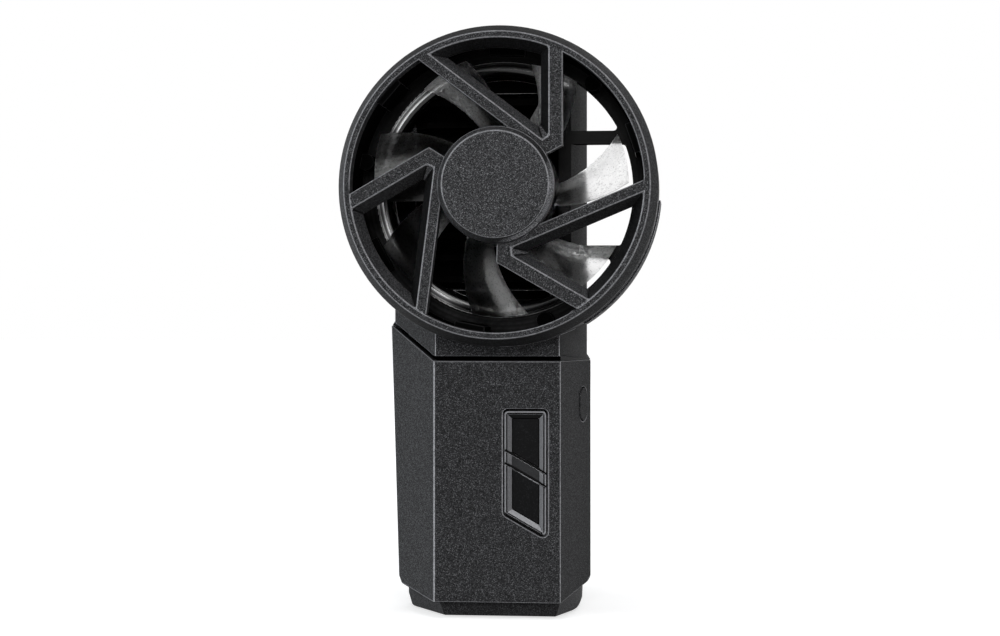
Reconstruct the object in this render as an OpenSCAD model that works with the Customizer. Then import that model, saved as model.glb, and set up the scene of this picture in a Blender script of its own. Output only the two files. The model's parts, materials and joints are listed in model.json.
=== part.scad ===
// Phone cooling fan that clamps across the back of a telephone.
// Origin: on the fan axis, in the plane of the cold plate's outer face.
// +X right, +Y towards the telephone, +Z up; the fan faces -Y. Millimetres.

/* [Fan head] */
// Outside diameter of the fan ring
ring_d = 42; // [38:0.5:48]
// Width of the flat front of the ring
ring_face = 0.83; // [0.5:0.01:1.6]
// Width of the bevel outside the flat front
ring_bevel = 1; // [0.4:0.05:1.2]
// Height of the band on the lower right of the drum
band_h = 0.35; // [0.1:0.05:0.6]
// Depth of the ring of the grille
ring_t = 2.4; // [2:0.1:4]
// Straight side of the ring behind its bevel
ring_edge = 0.4; // [0.2:0.1:1.2]
// Depth of the spokes
spoke_t = 2; // [1.4:0.1:3]
// Distance of both spokes of a pair from the axis
spoke_off = 6.88; // [6:0.02:7.4]
// Width of the spoke that passes by the hub
long_spoke_w = 1.39; // [1:0.01:2.2]
// Width of the other spoke of the pair
short_spoke_w = 1.8; // [1.2:0.05:2.6]
// Angle between the two spokes of a pair
spoke_angle = 52.7; // [46:0.1:60]
// Slope of the pocket walls between the two spokes
pocket_slope = 31; // [15:1:45]
// Slope of the pocket's end where the two spokes meet
crotch_slope = 46; // [20:1:55]
// Diameter of the hub cap
hub_d = 15.2; // [14:0.1:17]
// Height of the hub cap in front of the spokes
hub_h = 1.2; // [0.6:0.1:1.6]
// Width of the bevel round the hub cap
hub_bevel = 0.63; // [0.3:0.01:0.9]
// Wall of the drum behind the grille
drum_wall = 1.8; // [1.4:0.1:2.4]
// Width of the ledge from the drum wall to the mouth
mouth_ledge = 3.9; // [2.6:0.1:4]

/* [Rotor] */
// Number of blades
blade_count = 7; // [5:1:9]
// Diameter over the blade tips
rotor_d = 34.2; // [28:0.1:34.5]
// Diameter of the rotor hub
rotor_hub_d = 15.4; // [13:0.1:16]
// Depth of the blades along the axis
blade_h = 5.5; // [4:0.1:5.6]
// Thickness of a blade at mid chord
blade_t = 0.75; // [0.5:0.05:1]
// Angle that a blade covers about the axis
blade_angle = 23.2; // [18:0.1:30]
// Angle by which the tip leads the root
blade_sweep = 20.5; // [10:0.5:35]
// Turning position of the rotor at rest
rotor_rest = 13.25; // [0:0.05:51]
// Diameter of the motor shaft
shaft_d = 1.5; // [1:0.1:2]

/* [Cooling stack] */
// Thickness of the cold plate
plate_t = 1.5; // [1:0.1:2.5]
// Width of the cold plate
plate_w = 18; // [14:0.1:20.5]
// Height of the cold plate
plate_h = 24; // [18:0.5:25]
// Thickness of the thermoelectric module
tec_t = 3.2; // [2.6:0.1:4]
// Side of the thermoelectric module
tec_side = 15; // [12:0.5:20.5]
// Thickness of the heat sink's base
sink_base_t = 1.6; // [1:0.1:2.4]
// Height of the heat sink's fins
fin_h = 3.7; // [2.5:0.1:5]
// Thickness of a fin
fin_t = 0.8; // [0.5:0.1:1.2]
// Number of fins
fin_count = 9; // [5:1:11]

/* [Body] */
// Left edge of the flat front
front_left = 8.85; // [7:0.05:11]
// Right edge of the flat front
front_right = 8; // [6:0.05:9]
// Left side of the body at the top of the sleeve
side_left = 16.06; // [15:0.02:18]
// Right side of the body
side_right = 11.54; // [10:0.02:13]
// Amount by which the left side comes in towards the foot
side_taper = 1.4; // [0:0.02:1.6]
// Distance of the flat front from the telephone
body_front = 16.2; // [15:0.1:17.5]
// Distance of the side edges from the telephone
body_edge = 6.3; // [5.5:0.1:7.5]
// Amount by which the sides come in towards the back
back_taper = 0.6; // [0:0.05:1]
// Wall of the sleeve
wall = 2; // [1.6:0.1:2.2]
// Amount by which the neck lies inside the sleeve
neck_in = 0.5; // [0.3:0.05:0.9]
// Top of the neck above the fan axis
neck_top = 15; // [14:0.1:16]
// Top of the sleeve below the fan axis
sleeve_top = 22.95; // [22:0.05:25]
// Length of the sleeve at the front
sleeve_len = 32.15; // [31:0.05:40]
// Width of the groove between neck and sleeve
groove_w = 0.6; // [0.4:0.05:1.2]
// Rise of the groove across the left side
groove_rise = 4.8; // [2:0.1:6]
// Rise of the sleeve's foot from the front to the side edges
foot_rise = 2; // [0:0.1:3]
// Height of the slope from the neck's sides out to the sleeve
flare_h = 0.8; // [0.4:0.05:1.2]
// Thickness of the back cover
cover_t = 1.4; // [1:0.1:1.8]
// Height of the cold plate above the back cover
plate_proud = 0.6; // [0.3:0.1:0.9]

/* [Indicator] */
// Left edge of the insert
insert_x = 0.63; // [-2:0.01:1]
// Width of the insert
insert_w = 5.5; // [5:0.1:6]
// Top of the insert below the sleeve's top
insert_top = 6.65; // [5:0.1:8]
// Height of the insert along its left edge
insert_h = 13.6; // [12:0.1:15]
// Slope of the slanted edges
insert_slope = 29.7; // [15:0.1:35]
// Distance from the top to the upper slanted cut along the left edge
bar_top = 5.15; // [4:0.05:7]
// Distance between the two slanted cuts along the left edge
bar_h = 1.72; // [1:0.02:3]
// Width of the slanted cuts
cut_w = 0.32; // [0.2:0.02:0.5]
// Width of the raised rim
rim_w = 0.19; // [0.15:0.01:0.5]
// Width of the channel inside the rim
rim_channel = 0.19; // [0.1:0.01:0.3]
// Width of the slope inside the channel
rim_slope = 0.56; // [0.2:0.02:0.8]
// Height of the rim in front of the sleeve
rim_proud = 0.12; // [0.05:0.01:0.5]
// Gap round the insert
insert_gap = 0.24; // [0.1:0.02:0.4]

/* [Clamp] */
// Reach of the jaws behind the cold plate
jaw_reach = 11; // [9:0.1:14]
// Travel of the lower jaw
jaw_travel = 20; // [10:0.5:20]
// Thickness of the lower jaw
jaw_t = 1.85; // [1.4:0.05:2.5]
// Amount by which the lower jaw lies inside the sleeve
jaw_in = 1.1; // [0.6:0.05:1.6]
// Amount by which the lower jaw's front comes in towards its base
jaw_lean = 0.8; // [0:0.1:1.6]
// Thickness of the upper jaw
upper_jaw_t = 2; // [1.6:0.1:2.2]
// Thickness of the hooked ends of the jaws
hook_t = 1.4; // [1:0.1:2]
// Height of the hooked ends in front of the pads
hook_h = 2.5; // [1.5:0.1:4]
// Thickness of the lower jaw's pad
pad_t = 1.8; // [1.2:0.1:2.4]
// Thickness of the upper jaw's pad
upper_pad_t = 1.2; // [0.8:0.1:1.5]
// Diameter of the guide rods
rod_d = 2; // [1.6:0.1:2.4]
// Distance between the guide rods
rod_pitch = 10; // [8:0.1:10.4]
// Wire of the return springs
spring_wire = 0.4; // [0.3:0.05:0.45]
// Coils of a return spring
spring_coils = 9; // [6:1:10]

/* [Controls] */
// Height of button and socket below the sleeve's top
control_drop = 6; // [6:0.1:9]
// Width of the push button
button_w = 2.5; // [2:0.1:3]
// Height of the push button
button_h = 4.4; // [3.5:0.1:5]
// Height of the push button above the side
button_proud = 0.15; // [0.1:0.05:0.4]
// Travel of the push button
button_travel = 0.25; // [0.1:0.05:0.3]
// Width of the charging socket
socket_w = 8.94; // [8.5:0.02:9.2]
// Height of the charging socket
socket_t = 3.2; // [3:0.02:3.3]

/* [Clearances] */
// Radial clearance of running fits
run_gap = 0.05; // [0.02:0.01:0.08]
// Radial clearance of pressed and glued pieces
fit_gap = 0.02; // [0.01:0.01:0.05]
// Gap round pieces set in the housing
set_gap = 0.12; // [0.08:0.01:0.15]
// Air gap between moving and fixed pieces
air_gap = 0.5; // [0.4:0.05:0.7]

/* [Hidden] */
$fn = 72;
far = 90;
eps = 0.05;
ring_r = ring_d / 2;
ring_in = ring_r - ring_bevel - ring_face;
hub_r = hub_d / 2;
// Places along the axis, from the telephone to the front
y_cover = -plate_proud;
y_stack = y_cover - cover_t;
fin_gap = 0.3;
y_sink = -plate_t - tec_t;
y_fins = y_sink - sink_base_t;
y_drum = y_fins - fin_h - fin_gap;
flange_t = 1.5;
flange_w = 1.7;
y_flange = y_drum - flange_t;
frame_t = 1.1;
y_frame = y_flange - frame_t;
y_rotor = y_frame - air_gap;
hub_extra = 0.4;
hub_depth = blade_h + hub_extra;
y_hub = y_rotor - hub_depth;
y_spokes = y_hub - air_gap - 0.2;
y_front = y_spokes - spoke_t;
y_ring = y_front + ring_t;
y_body = -body_front;
y_edge = -body_edge;
// Plan of the body, seen from above
back_step = back_taper / body_edge;
function plan(yb) = [[-front_left, y_body], [front_right, y_body], [side_right, y_edge],
    [side_right - back_step * (yb - y_edge), yb],
    [-side_left + back_step * (yb - y_edge), yb], [-side_left, y_edge]];
function unit(v) = v / norm(v);
function side_of(a, b) = let (d = unit(b - a)) [-d[1], d[0]];
function inset(p, o) = [for (i = [0:len(p) - 1])
    let (n = len(p), a = side_of(p[(i + n - 1) % n], p[i]), b = side_of(p[i], p[(i + 1) % n]))
    p[i] + o * (a + b) / (1 + a * b)];
back_step_in = 0.3;
y_wall_back = y_cover - back_step_in;
plan_far = 12;
cav = wall;
body_mid = (side_right - side_left) / 2;
neck_corner = 0.14;
neck_back = back_step * (y_wall_back - y_edge) + neck_in;
neck_plan = [[-front_left + neck_corner, y_body + neck_in], [front_right - neck_corner, y_body + neck_in],
    [side_right - neck_in, y_edge], [side_right - neck_back, y_wall_back],
    [-side_left + neck_back, y_wall_back], [-side_left + neck_in, y_edge]];
// Heights of the body
z_sleeve = -sleeve_top;
z_neck = z_sleeve + groove_w;
z_foot = z_sleeve - sleeve_len;
z_left = z_sleeve + groove_rise;
z_flare = z_left - 0.3;
foot_bevel = 0.25;
taper_step = side_taper / (z_left - z_foot);
rise_step = groove_rise / (side_left - front_left);
foot_step = foot_rise / (body_front - body_edge);
function foot_z(y) = z_foot + foot_step * (y - y_body);
foot_wall = 1.2;
// Both ends of the foot's side edges, each with its direction
foot_ends = [[-side_left + taper_step * (z_left - foot_z(y_edge)), -1], [side_right, 1]];
z_floor = foot_z(y_wall_back) + foot_wall;
roof_t = 1.6;
chamber_h = neck_top - roof_t;
jaw_gap = 0.1;
z_cap = z_foot - jaw_gap;
z_base = z_cap - jaw_t;
z_control = z_sleeve - control_drop;
// Fan mouth and drum
drum_in = ring_r - drum_wall;
mouth_r = drum_in - mouth_ledge;
flange_in = drum_in - flange_w;
plenum_wall = 1.6;
plenum_r = mouth_r + plenum_wall;
plenum_h = 3.3;
y_plenum = y_drum + plenum_h;
band_in = 2;
collar_t = 1;
arm_z = [7, -8.4];
arm_w = 1.8;
arm_fillet = 0.45;
peg_r = 1.1;
peg_in = 0.7;
peg_h = 3.6;
// Motor
hub_wall = 0.85;
cup_in = rotor_hub_d / 2 - hub_wall;
yoke_t = 0.45;
magnet_t = 0.75;
magnet_in = cup_in - 2 * fit_gap - yoke_t - magnet_t;
stator_r = magnet_in - 0.32;
shaft_r = shaft_d / 2;
bearing_r = shaft_r + 0.8;
tube_r = bearing_r + 0.5;
y_tube = y_hub + 1.25;
base_t = 1;
y_base = y_frame + base_t;
base_r = 6.4;
core_hub = 0.9;
core_front = 0.9;
core_back = 1;
tooth_w = 1.1;
shoe_t = 0.6;
shoe_w = 3.8;
coil_t = 0.5;
coil_h = 0.4;
board_t = 0.5;
y_core = [y_tube + core_front, y_frame - board_t - core_back];
// Clamp
rod_r = rod_d / 2;
rod_x = [body_mid - rod_pitch / 2, body_mid + rod_pitch / 2];
rod_back = 9.4;
y_rod = -rod_back;
bush_wall = 0.85;
bush_r = rod_r + bush_wall;
bush_len = 4;
z_bush_low = foot_z(y_rod + bush_r);
z_bush = z_bush_low + bush_len;
clip_t = 0.8;
clip_w = 0.8;
spring_rest = 1;
z_clip = z_bush + spring_coils * spring_wire + spring_rest + jaw_travel;
rod_end = 0.5;
z_rod_top = z_clip + clip_t + rod_end;
spring_gap = 0.15;
spring_r = rod_r + run_gap + spring_gap + spring_wire;
jaw_half = 9.8;
jaw_l = body_mid - jaw_half;
jaw_r = body_mid + jaw_half;
upper_half = 8.5;
upper_l = body_mid - upper_half;
upper_r = body_mid + upper_half;
pad_in = 0.6;
pad_start = 0.3;
jaw_root = -6;
rod_seat = 1;
pad_slot = 0.8;
screw_r = 0.7;
screw_len = 3.4;
head_r = 1.4;
head_t = 0.8;
slot_w = 0.3;
jaw_screw_in = 4;
jaw_screw_y = -5;
jaw_screw_x = [upper_l + jaw_screw_in, upper_r - jaw_screw_in];
// Control positions
post_h = 0.9;
post_r = 1.5;
y_pcb = y_body + wall + post_h;
pcb_t = 1;
pcb_end = 2;
pcb_left = 4.6;
pcb_right = 8.2;
screw_x = body_mid;
screw_top = 7;
screw_pitch = 16;
screw_z = [z_sleeve - screw_top, z_sleeve - screw_top - screw_pitch];
board_screw_r = 0.6;
board_head_t = 0.6;
board_head_r = 1.3;
led_w = 2;
led_h = 0.6;
insert_z = z_sleeve - insert_top;
slope = tan(insert_slope);
cut_h = cut_w / cos(insert_slope);
pane_in = rim_w + rim_channel + rim_slope;
insert_d = 1.3;
dish_d = 0.5;
y_rim = y_body - rim_proud;
y_seat = y_body + insert_d;
y_pane = y_rim + dish_d;
facet = unit([side_right - front_right, y_edge - y_body]);
button_turn = atan2(facet[1], facet[0]) - 90;
button_back = 7.9;
button_at = [front_right, y_body] + button_back * facet;
y_socket = y_stack - socket_t / 2 - 0.3;
socket_len = 7.2;
socket_wall = 0.3;
tongue_t = 0.7;
tongue_half = 3.3;
power_t = 0.8;
power_w = 8.4;
power_half = 6.2;
ledge_t = 1.1;
ledge_at = 5.4;
ledge_reach = 3.4;
rib_at = 3.1;
rib_t = 0.8;
rib_w = 1.6;
rib_reach = 5.1;
button_board_t = 0.7;
button_board_x = 4.3;
button_board_w = 4;
switch_half = 1.5;
button_lip = 0.45;
button_flange = 0.75;
socket_x = -side_left + side_taper * 0.4 + back_taper * 0.4 + 0.15;
boss_half = 8.4;
boss_r = 1.9;
boss_end = 1.4;
boss_drop = 3.2;
cover_at = [for (z = [z_floor + boss_end, -chamber_h - boss_drop], s = [-1, 1])
    [body_mid + s * boss_half, z]];

// Cylinder along the fan axis between two depths
module axial(y0, y1, r) {
    translate([0, y1, 0]) rotate([90, 0, 0]) cylinder(h = y1 - y0, r = r);
}
// Ring along the fan axis
module axial_ring(y0, y1, ro, ri) {
    difference() {
        axial(y0, y1, ro);
        axial(y0 - eps, y1 + eps, ri);
    }
}
module box(a, b) {
    translate(a) cube(b - a);
}
// Outline in X and Z drawn through a range of depths
module slab(pts, y0, y1) {
    translate([0, y1, 0]) rotate([90, 0, 0]) linear_extrude(y1 - y0) polygon(pts);
}
// Outline in Y and Z drawn through a range of widths
module profile(pts, x0, x1) {
    translate([x0, 0, 0]) rotate([90, 0, 90]) linear_extrude(x1 - x0) polygon(pts);
}
// Column with the plan of the body, brought in by a distance
module column(o, yb, z0, z1) {
    translate([0, 0, z0]) linear_extrude(z1 - z0) polygon(inset(plan(yb), o));
}
// Part of space right of the leaning left side
module right_of_side(o) {
    slab([[-side_left + o - taper_step * 60, z_left + 60], [far, z_left + 60],
        [far, z_foot - 20], [-side_left + o + taper_step * (z_left - z_foot + 20), z_foot - 20]],
        -far, far);
}
// Part of space below a line that runs up across the left side, level, and on at the right
module below_groove(z, z_right) {
    slab([[-front_left - 12, z + 12 * rise_step], [-front_left, z], [front_right, z],
        [front_right, z_right], [far, z_right], [far, -far], [-front_left - 12, -far]], -far, far);
}
// Part of space above the slanting foot of the sleeve, or below it
module beyond_foot(o, z_far) {
    profile([[-far, foot_z(-far) + o], [far, foot_z(far) + o], [far, z_far], [-far, z_far]], -far, far);
}
// Frame on the right side, its x axis pointing out of the side
module at_side(z) {
    translate([button_at[0], button_at[1], z]) rotate([0, 0, button_turn]) children();
}
// Part of space beyond a leaning face in the plane of the grille
module lean(a, d, tilt) {
    rotate([0, 0, a]) translate([d, 0, 0]) rotate([0, -tilt, 0])
        translate([0, -far / 2, -far / 2]) cube(far);
}
module at_front(y) {
    translate([0, y, 0]) rotate([90, 0, 0]) children();
}
module three() {
    for (k = [0:2]) rotate([0, k * 120, 0]) children();
}

module spoke_pair() {
    x2 = spoke_off + short_spoke_w;
    n = [cos(spoke_angle), sin(spoke_angle)];
    t = [-sin(spoke_angle), cos(spoke_angle)];
    foot = spoke_off * n;
    tip = foot + ring_r * t;
    root = [x2, hub_r * 0.668];
    inner = root - 4.5 * [cos(28), sin(28)];
    crotch = 35.6;
    corner = (spoke_off + long_spoke_w) * n - 1.3 * t;
    at_front(y_spokes) difference() {
        intersection() {
            linear_extrude(spoke_t) polygon([root, [x2, ring_r], [tip[0], ring_r], tip, foot, inner]);
            cylinder(h = spoke_t, r = ring_in + 0.5);
        }
        translate([0, 0, spoke_t]) intersection() {
            lean(spoke_angle, spoke_off + long_spoke_w, pocket_slope);
            lean(180, -spoke_off, pocket_slope);
            lean(90 + crotch, corner * [-sin(crotch), cos(crotch)], crotch_slope);
            translate([0, 0, -spoke_t - 1]) cylinder(h = spoke_t + 2,
                r1 = ring_in - (spoke_t + 1) * tan(pocket_slope), r2 = ring_in + tan(pocket_slope));
        }
    }
}

module front_grille() {
    stub = hub_r * 0.4;
    color([0.13, 0.13, 0.14]) {
        difference() {
            union() {
                at_front(y_ring) rotate_extrude() polygon([[ring_in, 0], [ring_r, 0],
                    [ring_r, ring_edge], [ring_r - ring_bevel, ring_t], [ring_in, ring_t]]);
                three() spoke_pair();
                axial(y_front, y_spokes, hub_r);
            }
            axial(y_front - eps, y_spokes + eps, stub + set_gap);
        }
        // Snap hooks along the drum wall
        three() rotate([0, -19, 0]) {
            box([drum_in - 0.9, y_ring - 1.2, -2], [drum_in - 0.15, y_rotor + 0.1, 2]);
            box([drum_in - 0.9, y_ring - 1.2, -2], [ring_in + 0.35, y_ring - 0.15, 2]);
        }
    }
}

module hub_cap() {
    stub = hub_r * 0.4;
    color([0.13, 0.13, 0.14]) {
        at_front(y_front) rotate_extrude() polygon([[0, 0], [hub_r, 0], [hub_r, hub_h * 0.35],
            [hub_r - hub_bevel, hub_h], [0, hub_h]]);
        axial(y_front - eps, y_spokes - 0.4, stub);
    }
}

module neck_solid(z0, z1) {
    translate([0, 0, z0]) linear_extrude(z1 - z0) polygon(neck_plan);
}
// Slope from the neck out to the sleeve, starting at a height
module flare(z) {
    hull() {
        column(0, y_wall_back, z, z + fit_gap);
        neck_solid(z + flare_h - fit_gap, z + flare_h);
    }
}

module fan_housing() {
    color([0.11, 0.11, 0.12]) difference() {
        union() {
            axial(y_ring, y_drum, ring_r);
            // Band on the lower right of the drum
            intersection() {
                axial(y_ring + band_in, y_drum, ring_r + band_h);
                slab([[0, 0], far * [cos(5), -sin(5)], far * [cos(58), -sin(58)]], -far, far);
            }
            intersection() {
                axial(y_drum - eps, y_plenum, plenum_r);
                box([-far, -far, -far], [front_right - 1, far, far]);
            }
            difference() {
                neck_solid(-far, neck_top);
                below_groove(z_neck, z_sleeve + fit_gap);
            }
            // Neck behind the groove and its slopes out to the sleeve
            difference() {
                intersection() {
                    union() {
                        neck_solid(z_sleeve, neck_top);
                        flare(z_flare);
                    }
                    box([-far, y_edge, -far], [-front_left, far, far]);
                }
                below_groove(z_sleeve + fit_gap, z_sleeve);
            }
            intersection() {
                flare(z_sleeve + fit_gap);
                box([front_right, -far, -far], [far, far, far]);
            }
            difference() {
                column(cav + set_gap, plan_far, z_neck - 3.6, z_left + 2);
                column(cav + collar_t, plan_far, z_neck - 4, z_sleeve);
                box([-far, y_stack - set_gap, -far], [far, far, far]);
            }
        }
        axial(y_ring - eps, y_flange, drum_in);
        // Mouth and the space behind it
        intersection() {
            axial(y_flange - eps, y_plenum - 1, mouth_r);
            column(cav, plan_far, -far, far);
        }
        intersection() {
            axial(y_flange - eps, y_plenum - 1, mouth_r);
            box([-far, -far, -far], [0, far, far]);
        }
        column(cav, plan_far, -chamber_h, chamber_h);
        // Seat of the back cover
        intersection() {
            column(cav, plan_far, -far, chamber_h);
            box([-far, y_stack - fit_gap, -far], [far, far, far]);
        }
        // Windows right of the neck
        difference() {
            intersection() {
                axial(y_flange - eps, y_drum + eps, flange_in);
                box([5, -far, -far], [far, far, far]);
            }
            neck_solid(-far, far);
            for (z = arm_z) box([5, -far, z - arm_w / 2], [far, far, z + arm_w / 2]);
            for (z = arm_z, s = [-1, 1]) window_corner(z + s * arm_w / 2, s);
        }
        // Room behind the drum for the leads
        intersection() {
            column(cav, plan_far, z_neck - far, -chamber_h - 1.4);
            box([-far, y_drum + 0.4, -far], [far, far, far]);
        }
        column(cav + collar_t, plan_far, -far, z_sleeve + 0.6);
        // Air outlets on the left
        for (k = [-2:2])
            box([-far, y_drum + 0.5, k * 4 - 1.1], [-side_left + 5, y_plenum - 1.2, k * 4 + 1.1]);
        // Screw holes
        for (x = jaw_screw_x) translate([x, jaw_screw_y, chamber_h - 1])
            cylinder(h = 4, r = screw_r + fit_gap);
    }
    color([0.11, 0.11, 0.12]) {
        // Pegs and ledges inside the drum
        three() {
            rotate([0, -48.6, 0]) translate([drum_in - peg_in, 0, 0])
                axial(y_flange - peg_h, y_flange + eps, peg_r);
            rotate([0, -88, 0])
                box([drum_in - 1.2, y_flange - 1.2, -2.4], [drum_in + 0.1, y_flange + eps, 2.4]);
        }
        // Bosses for the back cover's screws
        for (i = [2, 3]) cover_boss(cover_at[i]);
    }
}

// Rounded corner where an arm meets the rim of the windows
module window_corner(z, s) {
    zc = z + s * arm_fillet;
    c = [sqrt(pow(flange_in - arm_fillet, 2) - zc * zc), zc];
    difference() {
        slab([c, c + 2 * arm_fillet * unit(c), [far, z], [c[0], z]], -far, far);
        translate([c[0], 0, c[1]]) axial(-far, far, arm_fillet);
    }
}

module cover_boss(p) {
    translate([p[0], 0, p[1]]) difference() {
        axial(y_stack - screw_len - 1, y_stack - fit_gap, boss_r);
        axial(y_stack - screw_len - 0.6, y_stack + eps, screw_r + fit_gap);
    }
}

module motor_frame() {
    lip = (flange_in - 0.2 - mouth_r) / 2 - 0.1;
    color([0.07, 0.07, 0.08]) difference() {
        union() {
            intersection() {
                at_front(y_flange) rotate_extrude() polygon(concat([[mouth_r, 0], [flange_in - 0.2, 0],
                    [flange_in - 0.2, 0.45], [mouth_r + 2 * lip, 0.45]],
                    [for (i = [0:6])
                        [mouth_r + lip + lip * cos(i * 30), frame_t - lip + lip * sin(i * 30)]]));
                box([-far, -far, -far], [front_right + 0.9, far, far]);
            }
            axial(y_frame, y_base, base_r);
            axial(y_tube, y_base, tube_r);
            for (k = [0:2]) rotate([0, 60 + k * 120, 0])
                box([4, y_frame + 0.1, -1.5], [mouth_r + 0.3, y_flange, 1.5]);
        }
        axial(y_tube - eps, y_base - 0.4, bearing_r + fit_gap);
    }
}

module shaft_bearing() {
    color([0.72, 0.55, 0.25]) axial_ring(y_tube + 0.2, y_frame - 0.1, bearing_r, shaft_r + run_gap);
}

module stator_core() {
    y0 = y_core[0];
    y1 = y_core[1];
    color([0.45, 0.45, 0.47]) difference() {
        union() {
            axial(y0, y1, tube_r + core_hub);
            intersection() {
                axial(y0, y1, stator_r);
                for (a = [45:90:315]) rotate([0, a, 0]) {
                    box([0, y0, -tooth_w / 2], [far, y1, tooth_w / 2]);
                    box([stator_r - shoe_t, y0, -shoe_w / 2], [far, y1, shoe_w / 2]);
                }
            }
        }
        axial(y0 - eps, y1 + eps, tube_r + fit_gap);
    }
}

module stator_coils() {
    half = tooth_w / 2 + coil_t;
    color([0.72, 0.36, 0.16]) for (a = [45:90:315]) rotate([0, a, 0]) difference() {
        box([tube_r + core_hub + eps, y_core[0] - coil_h, -half],
            [stator_r - shoe_t - eps, y_core[1] + coil_h, half]);
        box([0, y_core[0] - fit_gap, -tooth_w / 2 - fit_gap],
            [far, y_core[1] + fit_gap, tooth_w / 2 + fit_gap]);
    }
}

module motor_board() {
    color([0.05, 0.3, 0.14]) axial_ring(y_frame - board_t, y_frame, magnet_in, tube_r + fit_gap);
}

// Blade from stations in radius and along the chord, the two faces joined at the edges
module blade() {
    nr = 7;
    nc = 6;
    r0 = rotor_hub_d / 2 - hub_wall * 0.5;
    r1 = rotor_d / 2;
    ym = y_rotor - blade_h / 2;
    function at(i, j, s) = let (
        r = r0 + (r1 - r0) * i / nr,
        u = 2 * j / nc - 1,
        lead = rotor_rest - blade_sweep * (r1 - r) / (r1 - rotor_hub_d / 2),
        w = r * blade_angle * PI / 180,
        h = blade_h - blade_t,
        l = norm([w, h]),
        t = s * blade_t / 2 * (1 - 0.65 * u * u),
        a = lead + u * blade_angle / 2 - t * h / l / r * 180 / PI,
        y = ym + u * h / 2 + 0.25 * (1 - u * u) + t * w / l)
        [r * cos(a), y, r * sin(a)];
    n = (nr + 1) * (nc + 1);
    function id(i, j, s) = s * n + i * (nc + 1) + j;
    pts = [for (s = [0, 1], i = [0:nr], j = [0:nc]) at(i, j, s == 0 ? 1 : -1)];
    faces = concat(
        [for (i = [0:nr - 1], j = [0:nc - 1], k = [0, 1]) k == 0
            ? [id(i, j, 0), id(i + 1, j, 0), id(i + 1, j + 1, 0)]
            : [id(i, j, 0), id(i + 1, j + 1, 0), id(i, j + 1, 0)]],
        [for (i = [0:nr - 1], j = [0:nc - 1], k = [0, 1]) k == 0
            ? [id(i, j, 1), id(i + 1, j + 1, 1), id(i + 1, j, 1)]
            : [id(i, j, 1), id(i, j + 1, 1), id(i + 1, j + 1, 1)]],
        [for (i = [0:nr - 1]) [id(i, 0, 0), id(i, 0, 1), id(i + 1, 0, 1), id(i + 1, 0, 0)]],
        [for (i = [0:nr - 1]) [id(i, nc, 0), id(i + 1, nc, 0), id(i + 1, nc, 1), id(i, nc, 1)]],
        [for (j = [0:nc - 1]) [id(0, j, 0), id(0, j + 1, 0), id(0, j + 1, 1), id(0, j, 1)]],
        [for (j = [0:nc - 1]) [id(nr, j, 0), id(nr, j, 1), id(nr, j + 1, 1), id(nr, j + 1, 0)]]);
    polyhedron(points = pts, faces = faces, convexity = 4);
}

module impeller() {
    color([0.24, 0.25, 0.26]) {
        difference() {
            axial(y_hub, y_rotor, rotor_hub_d / 2);
            axial(y_hub + 0.8, y_rotor + eps, cup_in);
            axial(y_hub - eps, y_rotor, shaft_r + fit_gap);
        }
        for (k = [0:blade_count - 1]) rotate([0, k * 360 / blade_count, 0]) blade();
    }
}

module rotor_yoke() {
    color([0.5, 0.5, 0.52])
        axial_ring(y_hub + 0.82, y_rotor - 0.3, cup_in - fit_gap, cup_in - fit_gap - yoke_t);
}

module rotor_magnet() {
    color([0.18, 0.18, 0.18]) axial_ring(y_hub + 1.2, y_rotor - 0.5, magnet_in + magnet_t, magnet_in);
}

module rotor_shaft() {
    color([0.75, 0.75, 0.77]) difference() {
        axial(y_hub + 0.1, y_base - 0.55, shaft_r);
        axial_ring(y_frame + 0.1, y_frame + 0.3, 5, shaft_r - 0.2);
    }
}

module retaining_clip() {
    color([0.7, 0.7, 0.7]) difference() {
        axial_ring(y_frame + 0.12, y_frame + 0.28, shaft_r + 0.45, shaft_r - 0.2 + fit_gap);
        box([0, -far, -0.35], [far, far, 0.35]);
    }
}

module heat_sink() {
    pitch = (2 * chamber_h - 2 - fin_t) / (fin_count - 1);
    color([0.32, 0.33, 0.35]) intersection() {
        column(cav + 0.3, plan_far, -chamber_h + 0.3, chamber_h - 0.3);
        union() {
            box([-far, y_fins, -far], [far, y_sink, far]);
            for (k = [0:fin_count - 1]) let (z = -chamber_h + 1 + k * pitch)
                box([-far, y_fins - fin_h, z], [far, y_fins + eps, z + fin_t]);
        }
    }
}

module peltier_module() {
    h = tec_side / 2;
    color([0.86, 0.86, 0.84]) {
        for (y = [y_sink, -plate_t - 0.8])
            box([body_mid - h, y, -h], [body_mid + h, y + 0.8, h]);
        for (x = [-2:2], z = [-2:2])
            let (s = h / 7, p = h * 0.4)
            box([body_mid + x * p - s, y_sink + 0.4, z * p - s],
                [body_mid + x * p + s, -plate_t - 0.4, z * p + s]);
    }
}

module foam_gasket() {
    h = tec_side / 2 + 0.4;
    color([0.1, 0.1, 0.1]) difference() {
        intersection() {
            column(cav + 0.3, plan_far, -chamber_h + 0.3, chamber_h - 0.3);
            box([-far, y_sink, -far], [far, y_stack - fit_gap, far]);
        }
        box([body_mid - h, -far, -h], [body_mid + h, far, h]);
    }
}

module cold_plate() {
    color([0.75, 0.76, 0.78]) box([body_mid - plate_w / 2, -plate_t, -plate_h / 2],
        [body_mid + plate_w / 2, 0, plate_h / 2]);
}

// Outline of the insert, brought in by a distance
function insert_pts(o) = inset([[insert_x, insert_z], [insert_x, insert_z - insert_h],
    [insert_x + insert_w, insert_z - insert_h - slope * insert_w], [insert_x + insert_w, insert_z]], o);
// Height at x of the slanted line that starts a distance below the insert's top left corner
function cut_z(x, d) = insert_z - d - slope * (x - insert_x);
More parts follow.
